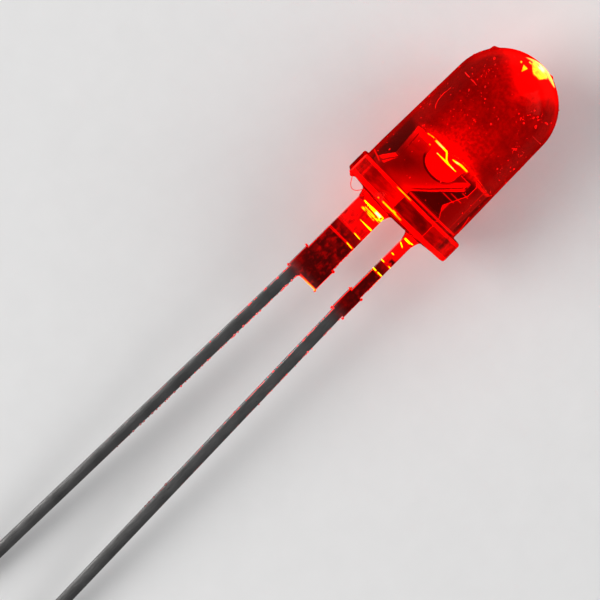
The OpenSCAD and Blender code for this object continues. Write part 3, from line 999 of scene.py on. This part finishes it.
def spill_light(f, patches):
    """Painted light that spills down the leads as far as the coined band, dimmed in patches."""
    reach = f.times(f.ease(f.z, COIN_FOOT - 0.06, -1.4), f.ease(f.z, 0.1, -0.1),
                    f.ease(patches, 0.25, 0.6, 0.75, 1.3))
    dark_band = f.between(f.z, COIN_FOOT + 0.12, COIN_TOP - 0.03, 0.03)
    drawn = f.ease(f.noise(5.0, 3.0, stretch=(3, 1, 0.6)), 0.35, 0.55, 0.72, 1.0)
    # The painted spill light is dimmed in these patches, broken up by noise.
    dim_patches = f.most(*(f.times(f.ease(f.x, start, full), f.line(f.z, z, half, soft), weight)
                    for start, full, z, half, soft, weight in SPILL_DIM_PATCHES))
    dim_breakup = f.ease(f.noise(3.2, 3.0, shift=(1, 5, 0)), 0.58, 0.44)
    spill = f.times(reach, f.without(dark_band, 0.62), f.without(f.times(dim_patches, dim_breakup), 0.8), drawn)
    coin_edges = f.most(f.line(f.z, COIN_TOP, 0.02, 0.02), f.line(f.z, COIN_FOOT, 0.04, 0.03))
    return f.most(spill, f.times(coin_edges, f.ease(patches, 0.3, 0.6, 0.6, 1.0)))


def faint_glow(f, patches):
    """Faint painted light on the leads between coined band and stubs: patches, round spots and
    stretched spots.
    """
    spots = f.ease(f.noise(4.5, 3.0), 0.50, 0.74, 0.0, 0.27)
    # Painted light in stretched spots.
    stretched_spots = f.ease(f.noise(5.0, stretch=(1, 1, 0.5), shift=(2, 1, 0)), 0.54, 0.72, 0.0, 0.19)
    return f.times(f.between(f.z, -4.4, -2.0, 0.4), f.ease(f.z, -3.9, -2.7, 0.6, 1.0),
                   f.ease(f.x, -0.5, 0.0, 0.6, 1.0),
                   f.add(f.ease(patches, 0.45, 0.75, 0.02, 0.16), spots, stretched_spots))


def side_flare(f, patches):
    """The bright slanted flare at the foot of the anvil's outer edge."""
    leaning = f.minus(f.x, f.times(f.minus(1.87, f.z), 0.33))
    return f.times(f.line(leaning, 1.16, 0.055, 0.04), f.between(f.z, 1.16, 1.86, 0.05),
                   f.ease(patches, 0.3, 0.6, 1.0, 2.6))


def streaks_on(f, rows):
    """Short streaks of light across the strip."""
    streaks = []
    for at, half_height, middle, half_width, slope in rows:
        level = f.minus(f.z, f.times(f.minus(f.x, middle), slope))
        streaks.append(f.times(f.line(level, at, half_height, 0.014),
                               f.line(f.x, middle, half_width, 0.1)))
    return f.most(*streaks)


def blade_streaks(f, fine):
    """The hot streaks across the broad blade, close under the flange."""
    level = f.add(f.z, f.times(f.x, -0.04))
    broad = f.times(f.line(level, -0.52, f.ease(f.x, 1.3, 0.4, 0.010, 0.075), 0.015),
                    f.between(f.x, 0.08, 1.24, 0.02))
    from_eye = f.length(f.minus(f.x, EYE[0]), f.minus(f.z, EYE[1]))
    ring = f.line(from_eye, 0.085, 0.02, 0.02)
    eyed = f.most(f.times(broad, f.ease(from_eye, 0.035, 0.07)), ring)
    fine_lines = f.times(streaks_on(f, FINE_STREAKS), f.ease(fine, 0.36, 0.54), 0.6)
    middle = f.times(f.line(f.z, -1.165, f.ease(f.x, 0.85, 0.25, 0.0, 0.028), 0.012),
                     f.between(f.x, 0.16, 0.8, 0.02))
    coined = f.times(streaks_on(f, COIN_STREAKS), 0.7)
    return f.times(f.most(fine_lines, eyed, middle, coined), f.ease(fine, 0.25, 0.5, 0.45, 1.0))


def lead_streaks(f):
    """All the hot streaks on both leads."""
    fine = f.noise(8.0, 3.0, stretch=(0.5, 0.5, 1))
    on_stem = f.times(streaks_on(f, STEM_STREAKS), f.ease(fine, 0.25, 0.45, 0.45, 1.0))
    return f.most(blade_streaks(f, fine), on_stem)


def rim_light(f):
    """The hot lines on the cup's collar: left and right along its rim, its lower edge, and a
    glinting dot.
    """
    left_z = f.minus(f.ease(f.x, -0.03, 0.27, RIM_Z - 0.34, RIM_Z - 0.03),
                     f.ease(f.x, 0.45, 0.9, 0.0, 0.03))
    left = f.times(f.line(f.z, left_z, f.ease(f.x, 0.9, 0.5, 0.010, 0.042), 0.012),
                   f.between(f.x, -0.04, 0.86, 0.02))
    right_z = f.ease(f.x, -0.06, -0.45, RIM_Z - 0.10, RIM_Z - 0.03)
    right = f.times(f.line(f.z, right_z, f.ease(f.x, -0.06, -0.28, 0.012, 0.034), 0.012),
                    f.between(f.x, -0.69, -0.09, 0.02))
    thin_ends = f.ease(f.away(f.x, 0.0), 0.36, 0.0, 0.012, 0.034)
    lower = f.times(f.line(f.z, RIM_Z - 0.36, thin_ends, 0.012), f.between(f.x, -0.39, 0.38, 0.03))
    outside = f.ease(f.away(f.y, 0.0), 0.12, 0.2)
    return f.times(outside, f.most(left, right, lower, f.spots(RIM_GLINT_DOT)))


def edge_steel():
    """The strip's rolled edges, which catch the light: bright by the lens, then broken glints."""
    f = LampFinish("tinned_steel_edge")
    steel_look(f)
    lead_middle = f.add(HALF_PITCH, f.times(f.above(SHOULDER_Z, f.z), sum(LEAN.values()) / 2))
    inner_side = f.ease(f.minus(f.away(f.x, 0.0), lead_middle), -0.05, 0.05, 1.0, 0.4)
    broken = f.ease(f.noise(3.4), 0.46, 0.60)
    outside = f.times(f.ease(f.z, 0.2, -0.2), inner_side, f.most(f.ease(f.z, -5.0, -4.4), broken),
                      f.ease(f.z, -3.5, -18.0, 1.3, 0.0))
    by_gap = f.times(f.ease(f.x, -1.3, -1.2, 0.3, 1.0), f.ease(f.x, 1.0, 0.8, 0.15, 1.0))
    inside = f.times(f.ease(f.z, 0.0, 0.4), f.ease(f.z, 1.2, 3.0, 3.0, 4.0), by_gap)
    hot = f.add(f.times(lead_streaks(f), 2.2), f.times(rim_light(f), RIM_GLOW))
    f.glow(f.add(outside, inside), hot, strength=STEEL_GLOW)
    return f.material


def burr_look():
    """Burrs and beads on the strip's edges, which glint red with the lens's light."""
    f = LampFinish("lit_burr")
    steel_look(f)
    fine = f.noise(3.0)
    level = f.times(f.ease(f.z, -17.0, -5.5, 0.12, 1.3), f.ease(fine, 0.3, 0.65, 0.45, 1.1))
    on_shoulder = f.spots(BURR_LINE)
    hot_shoulder = f.times(on_shoulder, f.ease(f.x, 0.9, 0.2, 0.05, 0.8),
                           f.ease(fine, 0.3, 0.6, 0.5, 1.2))
    hot_near = f.times(f.ease(f.z, -4.0, -1.0), f.ease(fine, 0.5, 0.6, 0.0, 0.5))
    f.glow(f.most(level, on_shoulder), f.add(hot_near, hot_shoulder), strength=2.5)
    return f.material


# ---- Materials: chip, glue and wire ----

def lit_chip_look():
    """The chip, which glows all over."""
    f = LampFinish("lit_chip")
    fine = f.noise(12.0)
    f.skin(Base_Color=f.mix_color(fine, (0.9, 0.2, 0.06), (1.0, 0.36, 0.14)), Roughness=0.3)
    f.glow(8.0, f.ease(fine, 0.2, 0.8, 3.0, 5.0), white=0.4, strength=14.0)
    return f.material


def silver_glue_look():
    """Flakes of silver in glue, red with the chip's light."""
    f = LampFinish("silver_glue")
    flakes = f.noise(40.0, 3.0)
    f.skin(Base_Color=f.mix_color(flakes, (0.42, 0.41, 0.40), (0.78, 0.77, 0.75)), Metallic=0.7,
           Roughness=f.ease(flakes, 0.3, 0.7, 0.35, 0.6),
           Emission_Color=(1.0, 0.0, 0.0, 1), Emission_Strength=1.5)
    f.bump(flakes, 0.004)
    return f.material


def gold_look():
    """Drawn gold wire, with painted light that grows brighter towards the cup."""
    f = LampFinish("gold_with_painted_glow")
    drawn = f.noise(20.0)
    f.skin(Base_Color=f.mix_color(drawn, (0.86, 0.58, 0.20), (0.98, 0.76, 0.36)), Metallic=1.0,
           Roughness=f.ease(drawn, 0.3, 0.7, 0.18, 0.3))
    f.glow(f.ease(f.x, -1.4, -0.6, 1.0, 3.0), f.ease(drawn, 0.3, 0.6, 0.0, 0.6), strength=4.0)
    return f.material


# ---- The lamp's pieces ----

resin = clear_resin()
strip = strip_steel()
edge = edge_steel()
make_lens(resin)
burr = burr_look()
make_steel("cathode_lead", "cathode_steel", [strip, edge, burr])
make_steel("anode_lead", "anode_steel", [strip, edge, burr])
make_chip(lit_chip_look())
make_glue(silver_glue_look())
make_wire(gold_look())
make_dust(dust_look())
make_thread(resin)


# ---- Floor, light and camera ----

FLOOR_HALF = 1.5
SOFTBOX = 0.26            # the width of both lamps
VIEW_WIDTH = 0.02495      # what the view takes in across the lamp
CAMERA_AWAY = 0.18
LEAN_UP = math.radians(3.5)      # how far the view leans from square: to the dome,
LEAN_SIDE = math.radians(4.3)    # and to the flat
AIM = (-0.003892, -0.003622)     # the view's middle, from the shared frame's origin


def floor_look():
    """Pale matt paper with a very fine speckle."""
    f = Finish("pale_floor")
    speckle = f.noise(900.0, 3.0)
    f.skin(Base_Color=f.mix_color(speckle, (0.78, 0.775, 0.765), (0.82, 0.815, 0.805)),
           Roughness=0.85, Specular_IOR_Level=0.2)
    return f.material


def make_floor():
    """A wide floor that the lamp lies on."""
    bm = bmesh.new()
    bmesh.ops.create_grid(bm, x_segments=1, y_segments=1, size=FLOOR_HALF)
    bmesh.ops.translate(bm, verts=bm.verts, vec=(0, 0, cad_box[0][2]))
    mesh = bpy.data.meshes.new("floor")
    bm.to_mesh(mesh)
    bm.free()
    mesh.materials.append(floor_look())
    floor = add_object("floor", mesh)


def make_softbox(name, place_at, power):
    """A soft square lamp, aimed at the LED."""
    light = bpy.data.lights.new(name, "AREA")
    light.shape = "SQUARE"
    light.size = SOFTBOX
    light.energy = power
    lamp = add_object(name, light)
    lamp.location = place_at
    lamp.rotation_mode = "QUATERNION"
    lamp.rotation_quaternion = (-Vector(place_at)).to_track_quat("-Z", "Y")


def make_world():
    """Even, weak daylight from all round."""
    world = bpy.data.worlds.new("studio")
    world.use_nodes = True
    background = world.node_tree.nodes["Background"]
    background.inputs["Color"].default_value = (0.96, 0.97, 1.0, 1)
    background.inputs["Strength"].default_value = 0.38
    bpy.context.scene.world = world


def make_camera():
    """Looks down on the lamp, with the dome to the upper right and the leads running off."""
    back = (FRONT + math.tan(LEAN_UP) * UP + math.tan(LEAN_SIDE) * SIDE).normalized()
    axis = (UP - UP.dot(back) * back).normalized()
    beside = back.cross(axis)
    right = (axis - beside).normalized()
    top = (axis + beside).normalized()
    aim = right * AIM[0] + top * AIM[1]
    data = bpy.data.cameras.new("camera")
    data.lens = data.sensor_width * CAMERA_AWAY / VIEW_WIDTH
    data.clip_start = 0.005
    data.clip_end = 10
    camera = add_object("camera", data)
    turn = Matrix((right, top, back)).transposed().to_4x4()
    camera.matrix_world = Matrix.Translation(aim + back * CAMERA_AWAY) @ turn
    bpy.context.scene.camera = camera


make_floor()
make_softbox("key", (-0.20, 0.24, 0.22), 1.15)
make_softbox("fill", (0.26, -0.22, 0.20), 0.55)
make_world()
make_camera()
bpy.context.scene.view_settings.view_transform = "Standard"
